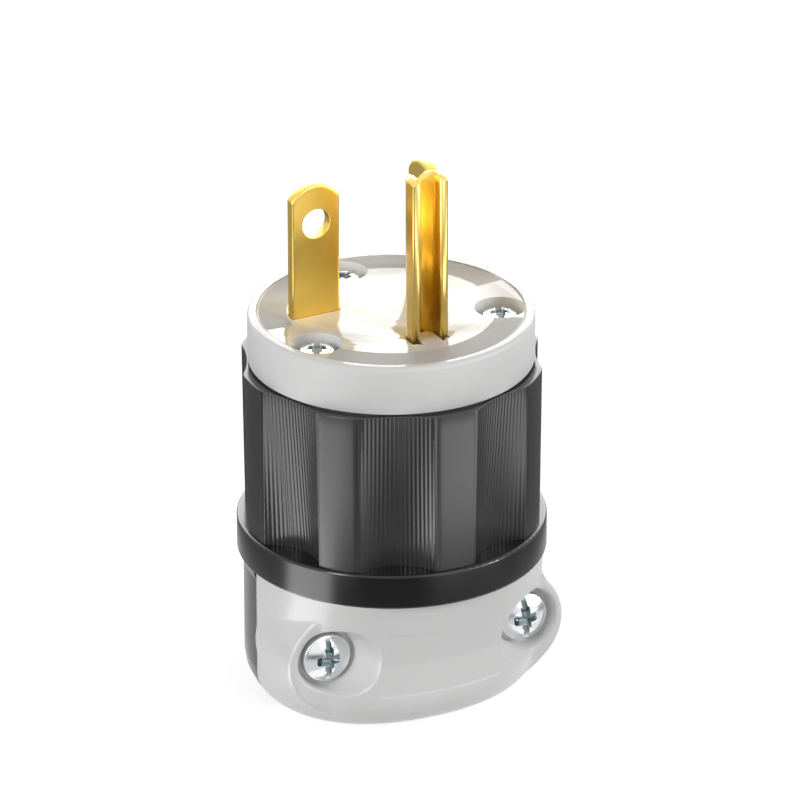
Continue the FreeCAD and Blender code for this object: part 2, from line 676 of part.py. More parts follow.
def main():
    """Builds every piece and writes it."""
    os.makedirs("parts", exist_ok=True)
    pieces = metal()
    pieces["face_plate"] = face_plate()
    pieces["terminal_block"] = terminal_block()
    pieces["body_shell"] = body_shell()
    pieces["cord_clamp"] = cord_clamp()
    names = ("rear", "left", "right")
    for name, (x, y), turn in zip(names, assembly_spots(), ASSEMBLY_TURNS):
        pieces["assembly_screw_" + name] = assembly_screw(x, y, turn)
    sides = (-CLAMP_SCREW_X, CLAMP_SCREW_X)
    for name, x, turn in zip(names[1:], sides, CLAMP_TURNS):
        pieces["clamp_screw_" + name] = clamp_screw(x, turn)
        pieces["clamp_nut_" + name] = clamp_nut(x)
    for node, shape in pieces.items():
        save(shape, node)


main()
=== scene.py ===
import math

import bmesh
import bpy
import numpy as np
from bpy.props import FloatProperty, FloatVectorProperty, PointerProperty
from mathutils import Matrix, Vector


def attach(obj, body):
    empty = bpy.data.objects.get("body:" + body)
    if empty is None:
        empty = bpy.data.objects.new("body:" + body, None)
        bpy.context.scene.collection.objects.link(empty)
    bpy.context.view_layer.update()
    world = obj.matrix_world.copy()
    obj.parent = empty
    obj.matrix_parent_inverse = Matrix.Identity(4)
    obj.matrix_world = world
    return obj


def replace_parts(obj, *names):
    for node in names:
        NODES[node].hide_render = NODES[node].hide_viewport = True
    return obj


bl_info = {
    "name": "Straight blade plug",
    "version": (1, 0, 0),
    "blender": (4, 5, 0),
    "location": "3D View > Sidebar > Plug",
    "description": "Dresses a packed straight blade plug and sets it in a pale studio",
    "category": "Object",
}

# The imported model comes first. Z runs up to the blades, and the ground pin lies towards -Y. Sizes
# in the sidebar are in metres, and the arrays below are in millimetres until they become a mesh.
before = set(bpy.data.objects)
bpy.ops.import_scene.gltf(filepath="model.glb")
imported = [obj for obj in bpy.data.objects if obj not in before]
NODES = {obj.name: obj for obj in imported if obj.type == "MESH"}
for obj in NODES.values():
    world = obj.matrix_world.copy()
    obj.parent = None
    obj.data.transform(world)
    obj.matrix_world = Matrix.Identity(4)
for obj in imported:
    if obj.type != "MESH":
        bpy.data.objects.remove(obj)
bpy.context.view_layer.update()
MM = 0.001

# Heights and radii of the plug in millimetres, as in the model's source
FACE_TOP = 49.9
SHELL_TOP = 43.73
COLLAR_TOP = 23.42
COLLAR_FOOT = 18.98
BORE = 13.7
REAR_TURN = math.radians(-2.1)

# The grip in millimetres and degrees: lands on a slight cone, with ribbed flutes between them
LANDS = 8
RIBS = 19
LAND_RADIUS = 18.3
LAND_TAPER = 0.2
FLUTE_DEPTH = 2.7
FLUTE_FADE = 1.45
FLUTE_LIFT = 0.2
FLUTE_HALF_ANGLE = 14.5

# The clamp's screws in millimetres: distance across, height, and the floor of their wells
CLAMP_SCREW_X = 13.17
CLAMP_SCREW_Z = 10.35
WELL_FLOOR = -8.8

# The face's matt band and the fine matt line outside it, each as the start and end of its inner
# and outer edges, in metres. Both are matt, and darker by painted shade in their base colour.
# The band is broken by polished arcs, in degrees from +X.
BAND = (0.01250, 0.01262, 0.01595, 0.01605)
FINE_LINE = (0.01602, 0.01610, 0.01626, 0.01634)
POLISHED_ARCS = ((-36.0, 7.0), (-181.0, -146.0), (174.0, 181.0))


def lengths(name, text, default):
    """A length property of the sidebar."""
    return FloatProperty(name=name, description=text, default=default, unit="LENGTH", precision=5)


def amount(name, text, default):
    """A plain positive number of the sidebar."""
    return FloatProperty(name=name, description=text, default=default, min=0.0)


def angle(name, text, default):
    """An angle property of the sidebar, given in degrees."""
    turn = math.radians(default)
    return FloatProperty(name=name, description=text, default=turn, subtype="ANGLE")


def colour(name, text, default):
    """A colour property of the sidebar, in linear values."""
    return FloatVectorProperty(
        name=name, description=text, default=default, subtype="COLOR", size=3, min=0.0, max=1.0
    )


class PlugFinishes(bpy.types.PropertyGroup):
    """Colours of the plug's materials."""

    white_nylon: colour("White nylon", "Face, terminal block and cord clamp", (0.76, 0.76, 0.755))
    black_nylon: colour("Black nylon", "Body with its grip and collar", (0.010, 0.010, 0.010))
    brass: colour("Brass", "Blades, ground pin and their terminals", (0.88, 0.61, 0.13))
    # Painted highlight: a paler brass that the marks lay on rounded edges, bevels and hole rims
    edge_highlight: colour("Cut brass", "Paler brass on cut and rounded edges", (0.86, 0.68, 0.36))
    zinc: colour("Zinc plate", "Screws, nuts and pressure plates", (0.84, 0.86, 0.87))
    # Painted shade: the dark teal laid in the bottom of the driven recesses
    recess_shade: colour("Screw recess", "Shaded bottom of the driven recesses", (0.05, 0.12, 0.14))
    green: colour("Green screw", "Ground terminal screw", (0.03, 0.24, 0.08))


class PlugClamp(bpy.types.PropertyGroup):
    """Sizes of the white half of the cord clamp."""

    half_width: lengths("Half width", "Half the width at the parting line", 0.01815)
    depth_foot: lengths("Depth at foot", "How far it reaches forward at the foot", 0.0150)
    depth_middle: lengths("Depth at screws", "How far it reaches forward at the screws", 0.0154)
    depth_top: lengths("Depth at collar", "How far it reaches forward at the collar", 0.0176)
    ear_radius: lengths("Ear radius", "Radius of the ear round each screw", 0.00666)
    ear_reach: lengths("Ear reach", "Front face of each ear, in front of the axis", 0.0103)
    well_radius: lengths("Well radius", "Radius of the screw well at its floor", 0.0036)
    blend: lengths("Blend", "Softness where the ears run into the body", 0.0014)


class PlugGrip(bpy.types.PropertyGroup):
    """Sizes of the fluted grip's skin."""

    proud: lengths("Proud", "How far the skin lies outside the solid", 0.00006)
    rib: lengths("Rib height", "Height of the fine ribs in the flutes", 0.00006)
    round: lengths("Edge round", "Softness of the edges between lands and flutes", 0.00018)


class PlugScrews(bpy.types.PropertyGroup):
    """Sizes of the driven screw heads."""

    clamp_radius: lengths("Clamp head radius", "Radius of the cord clamp's screw heads", 0.0031)
    face_radius: lengths("Face head radius", "Radius of the heads in the face", 0.0021)
    slot_width: lengths("Slot width", "Width of the driving slots", 0.00068)
    cross_width: lengths("Cross width", "Width of the arms of the driving crosses", 0.0011)
    edge: lengths("Edge round", "Rounding of the heads' rims", 0.00025)


class PlugStudio(bpy.types.PropertyGroup):
    """Camera and light of the studio."""

    azimuth: angle("Azimuth", "Camera's turn round the plug", -26.957)
    elevation: angle("Elevation", "Camera's height angle", 24.079)
    distance: lengths("Distance", "Camera to the centre of the face", 0.94376)
    ambient: amount("Ambient", "Strength of the even light", 0.32)
    sheen: amount("Sheen", "Strength of the ring on the floor that only gloss shows", 3.5)
    gleam: amount("Gleam", "Strength of the panel behind that the polished face shows", 5.0)
    lift: amount("Lift", "Strength of the panel in front that lights the blade's front", 2.6)


# Meshes from grids

def shell(points, faces, marks=None):
    """One closed surface: points, arrays of faces that point outwards, and a mark for each point.

    The faces are all turned over if they enclose a negative volume.
    """
    points = np.asarray(points, float).reshape(-1, 3)
    volume = 0.0
    for group in faces:
        corner = points[group]
        for last in range(2, group.shape[1]):
            spread = np.cross(corner[:, last - 1], corner[:, last])
            volume += np.einsum("ij,ij->", corner[:, 0], spread)
    if volume < 0.0:
        faces = [group[:, ::-1] for group in faces]
    return points, faces, np.zeros(len(points)) if marks is None else np.asarray(marks).ravel()


def mesh_object(name, shells, material):
    """A new piece from closed shells in millimetres, riding on the body, with its material."""
    points = np.concatenate([part[0] for part in shells])
    starts = np.cumsum([0] + [len(part[0]) for part in shells])
    faces = [group + start for part, start in zip(shells, starts) for group in part[1]]
    corners = np.concatenate([group.ravel() for group in faces]).astype(np.int32)
    sizes = np.concatenate([np.full(len(group), group.shape[1]) for group in faces])
    starts = np.concatenate([[0], np.cumsum(sizes)[:-1]]).astype(np.int32)
    mesh = bpy.data.meshes.new(name)
    mesh.vertices.add(len(points))
    mesh.vertices.foreach_set("co", (points * MM).astype(np.float32).ravel())
    mesh.loops.add(len(corners))
    mesh.loops.foreach_set("vertex_index", corners)
    mesh.polygons.add(len(starts))
    mesh.polygons.foreach_set("loop_start", starts)
    mesh.polygons.foreach_set("use_smooth", np.ones(len(starts), bool))
    mesh.update(calc_edges=True)
    layer = mesh.attributes.new("mark", "FLOAT", "POINT")
    layer.data.foreach_set("value", np.concatenate([part[2] for part in shells]).astype(np.float32))
    mesh.materials.append(material)
    return linked(bpy.data.objects.new(name, mesh))


def linked(piece):
    """Puts a piece in the scene, riding on the body."""
    bpy.context.scene.collection.objects.link(piece)
    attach(piece, "root")
    return piece


def grid_quads(rows, columns, wrap_rows=False, wrap_columns=False):
    """Quads of a grid of points stored row by row, closed on itself where asked."""
    row = np.arange(rows if wrap_rows else rows - 1)[:, None]
    column = np.arange(columns if wrap_columns else columns - 1)[None, :]
    below = (row + 1) % rows
    beside = (column + 1) % columns
    first, second = row * columns, below * columns
    corners = (first + column, first + beside, second + beside, second + column)
    return np.stack(np.broadcast_arrays(*corners), axis=-1).reshape(-1, 4)


def turned_points(x, y, turn):
    """Two arrays turned about Z by an angle."""
    return x * math.cos(turn) - y * math.sin(turn), x * math.sin(turn) + y * math.cos(turn)


def soft_max(a, b, width):
    """The larger of two arrays, rounded where they are nearly equal: a smooth maximum."""
    near = np.maximum(width - np.abs(a - b), 0.0) / width
    return np.maximum(a, b) + near * near * width * 0.25


def soft_min(a, b, width):
    """The smaller of two arrays, rounded where they are nearly equal."""
    return -soft_max(-a, -b, width)


def ramp(x, low, high):
    """0 below low, 1 above high, and a smooth step between."""
    t = np.clip((x - low) / (high - low), 0.0, 1.0)
    return t * t * (3.0 - 2.0 * t)


def softened(node, width):
    """A copy of a solid with its doubles merged, flat faces joined and sharp edges rounded."""
    source = NODES[node]
    mesh = source.data.copy()
    mesh.transform(source.matrix_world)
    shape = bmesh.new()
    shape.from_mesh(mesh)
    bmesh.ops.remove_doubles(shape, verts=shape.verts, dist=0.000002)
    flat = math.radians(0.3)
    bmesh.ops.dissolve_limit(
        shape, angle_limit=flat, verts=shape.verts, edges=shape.edges, delimit={"NORMAL"}
    )
    shape.to_mesh(mesh)
    shape.free()
    mesh.polygons.foreach_set("use_smooth", np.ones(len(mesh.polygons), bool))
    mesh.materials.clear()
    piece = linked(bpy.data.objects.new(node + "_softened", mesh))
    rounding = piece.modifiers.new("edges", "BEVEL")
    rounding.width = width
    rounding.segments = 2
    rounding.limit_method = "ANGLE"
    rounding.angle_limit = math.radians(28.0)
    rounding.harden_normals = True
    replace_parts(piece, node)
    return piece


# Materials

def new_group(name, inputs, outputs):
    """A shader node group with its sockets, made once."""
    group = bpy.data.node_groups.new(name, "ShaderNodeTree")
    for label, default in inputs:
        socket = group.interface.new_socket(label, in_out="INPUT", socket_type="NodeSocketFloat")
        socket.default_value = default
    for label in outputs:
        group.interface.new_socket(label, in_out="OUTPUT", socket_type="NodeSocketFloat")
    start = group.nodes.new("NodeGroupInput")
    end = group.nodes.new("NodeGroupOutput")
    return group, start, end


def wire(tree, source, target):
    """Joins two sockets."""
    tree.links.new(source, target)


def noise(tree, vector, detail, target):
    """Noise over a vector, wired to a target. Gives the socket of its scale."""
    node = tree.nodes.new("ShaderNodeTexNoise")
    node.inputs["Detail"].default_value = detail
    wire(tree, vector, node.inputs["Vector"])
    wire(tree, node.outputs["Fac"], target)
    return node.inputs["Scale"]


def moulded_grain():
    """Shared effect: the fine orange peel and the broad flow marks of moulded nylon."""
    name = "moulded_grain"
    if name in bpy.data.node_groups:
        return bpy.data.node_groups[name]
    scales = [("Fine Scale", 2500.0), ("Flow Scale", 90.0)]
    group, start, end = new_group(name, scales, ["Fine", "Flow"])
    place = group.nodes.new("ShaderNodeTexCoord").outputs["Object"]
    for label, output, detail in (("Fine Scale", "Fine", 2.0), ("Flow Scale", "Flow", 3.0)):
        scale = noise(group, place, detail, end.inputs[output])
        wire(group, start.outputs[label], scale)
    return group


def drawn_metal():
    """Shared effect: streaks drawn along Z and a soft mottling, as on rolled or plated metal."""
    name = "drawn_metal"
    if name in bpy.data.node_groups:
        return bpy.data.node_groups[name]
    scales = [("Scale", 900.0), ("Stretch", 0.05)]
    group, start, end = new_group(name, scales, ["Streaks", "Mottle"])
    place = group.nodes.new("ShaderNodeTexCoord")
    join = group.nodes.new("ShaderNodeCombineXYZ")
    for axis in "XY":
        join.inputs[axis].default_value = 1.0
    wire(group, start.outputs["Stretch"], join.inputs["Z"])
    scaled = group.nodes.new("ShaderNodeVectorMath")
    scaled.operation = "MULTIPLY"
    wire(group, place.outputs["Object"], scaled.inputs[0])
    wire(group, join.outputs["Vector"], scaled.inputs[1])
    scale = noise(group, scaled.outputs["Vector"], 3.0, end.inputs["Streaks"])
    wire(group, start.outputs["Scale"], scale)
    noise(group, place.outputs["Object"], 4.0, end.inputs["Mottle"]).default_value = 160.0
    return group


def new_material(name):
    """An empty material with its shader, ready for nodes."""
    material = bpy.data.materials.new(name)
    material.use_nodes = True
    return material, material.node_tree, material.node_tree.nodes["Principled BSDF"]


def add(tree, kind, **values):
    """A node with its plain settings."""
    node = tree.nodes.new(kind)
    for key, value in values.items():
        setattr(node, key, value)
    return node


def map_range(tree, source, low, high, to_low, to_high):
    """Maps a value to another range."""
    node = add(tree, "ShaderNodeMapRange")
    labels = ("From Min", "From Max", "To Min", "To Max")
    for label, value in zip(labels, (low, high, to_low, to_high)):
        node.inputs[label].default_value = value
    wire(tree, source, node.inputs["Value"])
    return node.outputs["Result"]


def combine(tree, operation, first, second):
    """One math operation on two sockets."""
    node = add(tree, "ShaderNodeMath", operation=operation)
    wire(tree, first, node.inputs[0])
    wire(tree, second, node.inputs[1])
    return node.outputs["Value"]


def mix_colour(tree, factor, first, second):
    """Mixes two colours by a mask; each may be a colour or a socket."""
    node = add(tree, "ShaderNodeMix", data_type="RGBA")
    wire(tree, factor, node.inputs["Factor"])
    for socket, value in ((node.inputs[6], first), (node.inputs[7], second)):
        if isinstance(value, bpy.types.NodeSocket):
            wire(tree, value, socket)
        else:
            socket.default_value = (*value, 1.0)
    return node.outputs[2]


def shade(rgb, factor):
    """A colour made lighter or darker."""
    return tuple(min(1.0, c * factor) for c in rgb)


def bump(tree, shader, height, distance):
    """A bump from a height, in metres."""
    node = add(tree, "ShaderNodeBump")
    node.inputs["Distance"].default_value = distance
    wire(tree, height, node.inputs["Height"])
    wire(tree, node.outputs["Normal"], shader.inputs["Normal"])


def nylon(name, rgb, rough_low, rough_high, peel):
    """Moulded nylon: slight flow marks in the colour, uneven gloss and a fine skin."""
    material, tree, shader = new_material(name)
    grain = add(tree, "ShaderNodeGroup", node_tree=moulded_grain())
    flow = grain.outputs["Flow"]
    tone = mix_colour(tree, flow, shade(rgb, 0.99), shade(rgb, 1.01))
    wire(tree, tone, shader.inputs["Base Color"])
    wire(tree, map_range(tree, flow, 0.3, 0.7, rough_low, rough_high), shader.inputs["Roughness"])
    bump(tree, shader, grain.outputs["Fine"], peel)
    return material, tree, shader


def metal(name, rgb, dark, rough_low, rough_high):
    """Rolled or plated metal: streaked gloss and a mottled tone."""
    material, tree, shader = new_material(name)
    shader.inputs["Metallic"].default_value = 1.0
    drawn = add(tree, "ShaderNodeGroup", node_tree=drawn_metal())
    tone = map_range(tree, drawn.outputs["Mottle"], 0.42, 0.68, 0.0, 1.0)
    wire(tree, mix_colour(tree, tone, rgb, dark), shader.inputs["Base Color"])
    rough = map_range(tree, drawn.outputs["Streaks"], 0.3, 0.7, rough_low, rough_high)
    wire(tree, rough, shader.inputs["Roughness"])
    bump(tree, shader, drawn.outputs["Streaks"], 0.0000025)
    return material, tree, shader


def metal_with_painted_light(name, rgb, dark, rough_low, rough_high, painted_colour, share):
    """Metal mixed towards a second colour by the mark that each point carries: painted light, as a
    paler highlight on brass edges and a dark shade deep in screw recesses.
    """
    material, tree, shader = metal(name, rgb, shade(rgb, dark), rough_low, rough_high)
    mark = add(tree, "ShaderNodeAttribute", attribute_name="mark")
    old = shader.inputs["Base Color"].links[0].from_socket
    mix = map_range(tree, mark.outputs["Fac"], 0.0, 1.0, 0.0, share)
    wire(tree, mix_colour(tree, mix, old, painted_colour), shader.inputs["Base Color"])
    return material


def dress(node, material):
    """Gives a CAD node its material."""
    slots = NODES[node].material_slots
    if not slots:
        raise RuntimeError("no material slot on " + node)
    for slot in slots:
        slot.material = material


def between(tree, source, edges, level=1.0):
    """A mask that rises to a level over the first two edges and falls over the last two."""
    rise = map_range(tree, source, *edges[:2], 0.0, level)
    fall = map_range(tree, source, *edges[2:], 1.0, 0.0)
    return combine(tree, "MULTIPLY", rise, fall)


def face_nylon(rgb):
    """The face's nylon: polished on the front, with a matt band inside the rim and satin sides.

    The band is a mask of the radius in the plane of the face, broken where a mask of the angle
    round the axis leaves it polished. A fine matt line runs all round outside it. Band and line
    are matt in roughness, and take painted shade as a darker copy of the nylon's colour.
    """
    material, tree, shader = nylon("face_nylon", rgb, 0.30, 0.40, 0.000003)
    place = add(tree, "ShaderNodeTexCoord")
    split = add(tree, "ShaderNodeSeparateXYZ")
    wire(tree, place.outputs["Object"], split.inputs["Vector"])
    flat = add(tree, "ShaderNodeCombineXYZ")
    for axis in "XY":
        wire(tree, split.outputs[axis], flat.inputs[axis])
    reach = add(tree, "ShaderNodeVectorMath", operation="LENGTH")
    wire(tree, flat.outputs["Vector"], reach.inputs[0])
    radius = reach.outputs["Value"]
    top = FACE_TOP * MM
    front = map_range(tree, split.outputs["Z"], top - 0.0001, top - 0.00005, 0.0, 1.0)
    band = between(tree, radius, BAND)
    line = between(tree, radius, FINE_LINE, 0.9)
    round_axis = combine(tree, "ARCTAN2", split.outputs["Y"], split.outputs["X"])
    arcs, fade = None, math.radians(1.0)
    for low, high in np.radians(POLISHED_ARCS).tolist():
        arc = between(tree, round_axis, (low, low + fade, high - fade, high))
        arcs = arc if arcs is None else combine(tree, "MAXIMUM", arcs, arc)
    matt_arcs = map_range(tree, arcs, 0.0, 1.0, 1.0, 0.0)
    matt_and_shade = combine(tree, "MAXIMUM", combine(tree, "MULTIPLY", band, matt_arcs), line)
    matt_and_shade = combine(tree, "MULTIPLY", matt_and_shade, front)
    gloss = combine(tree, "SUBTRACT", front, matt_and_shade)
    old = shader.inputs["Base Color"].links[0].from_socket
    # Painted shade: the matt band and line take a darker copy of the white nylon
    wire(tree, mix_colour(tree, matt_and_shade, old, shade(rgb, 0.74)), shader.inputs["Base Color"])
    wire(tree, map_range(tree, matt_and_shade, 0.0, 1.0, 0.5, 0.07), shader.inputs["Specular IOR Level"])
    wire(tree, map_range(tree, gloss, 0.0, 1.0, 0.55, 0.05), shader.inputs["Roughness"])
    return material


class PLUG_OT_mouldings(bpy.types.Operator):
    """Dress the face, the black body and the terminal block"""

    bl_idname = "plug.mouldings"
    bl_label = "Mouldings"

    def execute(self, context):
        finishes = context.scene.plug_finishes
        black = nylon("black_nylon", finishes.black_nylon, 0.19, 0.24, 0.0000015)[0]
        block = nylon("block_nylon", finishes.white_nylon, 0.40, 0.50, 0.000003)[0]
        dress("body_shell", black)
        dress("terminal_block", block)
        face = softened("face_plate", 0.00012)
        face.data.materials.append(face_nylon(finishes.white_nylon))
        return {"FINISHED"}


def flute_radius(turn, z, rib):
    """Radius of the grip's outline round the axis, in millimetres.

    Eight lands stand on a cone. Between them each flute is an arc of a circle that meets the land
    at its two edges and is deepest in the middle, and a cosine wave along the arc makes the ribs.
    The two are joined by a smooth minimum.
    """
    share = (z - COLLAR_TOP) / (SHELL_TOP - COLLAR_TOP)
    land = LAND_RADIUS + LAND_TAPER * share
    deep = land - FLUTE_DEPTH + FLUTE_FADE * share
    half_angle = math.radians(FLUTE_HALF_ANGLE)
    chord = land * math.cos(half_angle)
    half_width = land * math.sin(half_angle)
    sag = chord - deep
    curve = (half_width ** 2 + sag ** 2) / (2.0 * sag)
    centre = deep + curve
    sweep = np.arcsin(half_width / curve)
    pitch = 2.0 * math.pi / LANDS
    local = (turn - REAR_TURN) % pitch - pitch / 2.0
    off = centre * np.sin(local)
    flute = centre * np.cos(local) - np.sqrt(np.maximum(curve ** 2 - off ** 2, 1e-9))
    along = np.arcsin(np.clip(flute * np.sin(local) / curve, -1.0, 1.0))
    wave = -0.5 * np.cos(math.pi * RIBS * (along / sweep + 1.0))
    inside = ramp(sweep - np.abs(along), 0.0, 0.03)
    return land, flute + (FLUTE_LIFT + rib * wave) * inside


class PLUG_OT_grip(bpy.types.Operator):
    """Lay the ribbed skin over the fluted grip"""

    bl_idname = "plug.grip"
    bl_label = "Grip"

    def execute(self, context):
        sizes = context.scene.plug_grip
        proud, rib, edge = sizes.proud / MM, sizes.rib / MM, sizes.round / MM
        # Columns lie closer in the flutes, where the ribs are, than on the lands.
        pitch = 360.0 / LANDS
        first, last = pitch / 2.0 - FLUTE_HALF_ANGLE, pitch / 2.0 + FLUTE_HALF_ANGLE
        flute = np.linspace(first, last, 153)
        land = np.linspace(last, pitch + first, 13)[1:-1]
        turn = np.concatenate([flute, land])[None, :] + pitch * np.arange(LANDS)[:, None]
        turn = np.radians(turn.ravel())[None, :] + REAR_TURN
        foot, high = COLLAR_TOP - 0.2, SHELL_TOP - 0.06
        height = np.concatenate([[foot], np.linspace(COLLAR_TOP + 0.02, high, 14)])
        land_radius, flute_line = flute_radius(turn, height[:, None], rib)
        skin = soft_min(land_radius + proud + 0 * turn, flute_line, edge)
        outer = np.stack([skin, height[:, None] + 0 * skin], axis=-1)
        # The top edge is a quarter round, and the inner wall stands in the solid's own wall.
        rim_round, inner_wall = 0.12, 15.0
        flat = 0 * skin[-1]
        rim = []
        for fall in np.radians(np.linspace(15.0, 90.0, 5)):
            radius = skin[-1] - rim_round * (1 - math.cos(fall))
            rim.append(np.stack([radius, flat + high + rim_round * math.sin(fall)], axis=-1))
        inner = [np.stack([flat + inner_wall, flat + z], axis=-1) for z in (high + rim_round, foot)]
        loop = np.concatenate([outer, rim, inner], axis=0)
        x, y = loop[..., 0] * np.cos(turn), loop[..., 0] * np.sin(turn)
        points = np.stack([x, y, loop[..., 1]], axis=-1)
        faces = [grid_quads(len(loop), turn.size, wrap_rows=True, wrap_columns=True)]
        black = bpy.data.materials["black_nylon"]
        mesh_object("grip_skin", [shell(points, faces)], black)
        return {"FINISHED"}


def clamp_skin(sizes, turn, z):
    """The outer skin of the clamp's white half at an angle and a height, in millimetres.

    The section is a superellipse whose depth changes with height, and its foot is rounded by a
    quarter ellipse. Each ear is a cylinder along Y, met by a smooth maximum that dies out at the
    parting line. Each screw well then pushes the skin back along Y, by a smooth maximum with a
    flared cup, and a shallow panel is sunk between the wells.
    """
    middle_z, ear_z = 9.9, 9.72
    foot_height, foot_inset, power = 5.45, 5.8, 2.22
    half, foot, middle, top = (
        v / MM for v in (sizes.half_width, sizes.depth_foot, sizes.depth_middle, sizes.depth_top)
    )
    low = foot + (middle - foot) * z / middle_z
    high = middle + (top - middle) * (z - middle_z) / (COLLAR_FOOT - middle_z)
    depth = np.where(z < middle_z, low, high)
    drop = np.clip(1.0 - z / foot_height, 0.0, 1.0)
    inset = foot_inset * (1.0 - np.sqrt(1.0 - drop * drop))
    along = np.abs(np.cos(turn))
    across = np.abs(np.sin(turn))
    oval = (along / (half - inset)) ** power + (across / (depth - inset)) ** power
    body = oval ** (-1.0 / power)
    radius = sizes.ear_radius / MM
    reach = sizes.ear_reach / MM
    ear_x = half + 0.2 - radius
    wide = np.sqrt(np.maximum(radius ** 2 - (z - ear_z) ** 2, 0.0))
    side = (ear_x + wide) / np.maximum(along, 1e-6)
    front = reach / np.maximum(across, 1e-6)
    ear = soft_min(side, front, 1.6)
    ear = np.where(np.abs(z - ear_z) < radius, ear, 0.0)
    blend = sizes.blend / MM * ramp(across, 0.0, 0.16) + 0.05
    skin = soft_max(body, ear, blend)
    x = skin * np.cos(turn)
    y = skin * np.sin(turn)
    panel_half, panel_foot, panel_top, panel_depth = 7.9, 5.75, 14.45, 0.10
    panel = 1.0
    for inside in (panel_half - np.abs(x), z - panel_foot, panel_top - z):
        panel = panel * ramp(inside, -0.15, 0.15)
    y = y + panel_depth * panel
    away = np.hypot(np.abs(x) - CLAMP_SCREW_X, z - CLAMP_SCREW_Z)
    cup = WELL_FLOOR - np.maximum(away - sizes.well_radius / MM, 0.0) / 0.28
    cup = soft_min(cup, WELL_FLOOR + 0 * cup, 0.3)
    y = np.where(y < -4.0, soft_max(y, cup, 0.7), y)
    return x, y


class PLUG_OT_clamp(bpy.types.Operator):
    """Build the white front half of the cord clamp, with its ears and screw wells"""

    bl_idname = "plug.clamp"
    bl_label = "Cord clamp"

    def execute(self, context):
        sizes = context.scene.plug_clamp
        around, rise = 460, 170
        skin_top, wall, channel, channel_half, entry = 18.95, 1.6, 12.4, 7.67, 7.2
        turn = np.linspace(-math.pi + 0.0055, -0.0055, around)[None, :]
        foot = 2.2 * np.linspace(0.0, 1.0, 24) ** 2
        height = np.concatenate([foot, np.linspace(2.3, skin_top, rise - 24)])[:, None]
        x, y = clamp_skin(sizes, turn, height)
        outer = np.stack([x, y, height + 0 * x], axis=-1)
        # The inside follows the wall, the channel and the round entry, as a few rings of points.
        reaches = (BORE, BORE, channel, channel, entry, entry)
        rings = []
        for reach, z in zip(reaches, (skin_top, 17.0, 16.9, 7.0, 7.0, 0.0)):
            inner = 0.0 * turn + reach
            if reach > entry:
                skin = np.hypot(*clamp_skin(sizes, turn, np.full_like(turn, z)))
                inner = np.minimum(inner, skin - wall)
            if reach == channel:
                inner = np.minimum(inner, channel_half / np.maximum(np.abs(np.cos(turn)), 1e-6))
            ring = [inner * np.cos(turn), inner * np.sin(turn), np.full_like(turn, z)]
            rings.append(np.stack(ring, axis=-1))
        loop = np.concatenate([outer] + rings, axis=0)
        rows = len(loop)
        x, y = turned_points(loop[..., 0], loop[..., 1], REAR_TURN)
        points = np.stack([x, y, loop[..., 2]], axis=-1).reshape(-1, 3)
        faces = [grid_quads(rows, around, wrap_rows=True)[:, ::-1]]
        # The two parting faces join the inner rings to the outer skin, a strip at a time.
        inner_rows = np.round(np.linspace(rows - 1, rise, rise)).astype(int)
        strip = np.stack([np.arange(rise), inner_rows]) * around
        for column, flip in ((0, True), (around - 1, False)):
            ends = strip + column
            face = np.stack([ends[0, :-1], ends[0, 1:], ends[1, 1:], ends[1, :-1]], axis=-1)
            same = face[:, 2] == face[:, 3]
            for group in (face[~same], face[same][:, :3]):
                faces.append(group[:, ::-1] if flip else group)
        white = context.scene.plug_finishes.white_nylon
        material = nylon("clamp_nylon", white, 0.27, 0.29, 0.000002)[0]
        piece = mesh_object("clamp_front_half", [shell(points, faces)], material)
        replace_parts(piece, "cord_clamp")
        return {"FINISHED"}


def plate_line(turn, half, foot, top, crown, inset):
    """Distance from a hole's centre to its plate's outline at each angle, drawn in by an inset.

    The outline is the nearest of the two sides, the foot and the top. A crown, given as the height
    of its centre over the hole and its radius, stands in for the flat top.
    """
    across, rise = np.maximum(np.abs(np.cos(turn)), 1e-9), np.sin(turn)
    side = (half - inset) / across
    below = (foot - inset) / np.maximum(-rise, 1e-9)
    if crown:
        centre, radius = crown[0], crown[1] - 1.5 * inset
        above = rise * centre + np.sqrt((rise * centre) ** 2 - centre ** 2 + radius ** 2)
    else:
        above = (top - inset) / np.maximum(rise, 1e-9)
    return np.minimum(side, np.where(rise > 0.0, above, below))


def holed_plate(half, foot, top, crown, thickness, edge, hole):
    """An upright plate round a hole at the origin, as a ring of loops through the hole.

    Each loop runs round the rounded outer edge, across the front, through the hole and back. The
    rounding is a quarter ellipse in the inset and the depth. The marks on the rounded edges and the
    hole's rim lay a painted highlight of paler brass.
    """
    turn = np.linspace(0.0, 2.0 * math.pi, 360, endpoint=False)[None, :]
    deep = thickness / 2.0
    rows, marks = [], []
    for fall, mark in zip(np.radians((0.0, 22.5, 45.0, 67.5, 90.0)), (0.0, 0.1, 0.4, 0.5, 0.15)):
        line = plate_line(turn, half, foot, top, crown, edge * (1.0 - math.cos(fall)))
        rows.append((line, deep - edge * (1.0 - math.sin(fall))))
        marks.append(mark)
    rows.append((plate_line(turn, half, foot, top, crown, edge + 0.06), deep))
    for out, sunk in ((0.14, 0.0), (0.07, 0.0), (0.02, 0.02), (0.0, 0.07)):
        rows.append((0.0 * turn + hole + out, deep - sunk))
    marks += [0.0, 0.0, 0.2, 0.6, 0.0]
    rows += [(line, -y) for line, y in reversed(rows)]
    marks += marks[::-1]
    lines = np.concatenate([line for line, y in rows])
    y = np.array([y for line, y in rows])[:, None] + 0.0 * lines
    points = np.stack([lines * np.cos(turn), y, lines * np.sin(turn)], axis=-1)
    faces = [grid_quads(len(rows), turn.size, wrap_rows=True, wrap_columns=True)]
    return shell(points, faces, np.array(marks)[:, None] + 0.0 * lines)


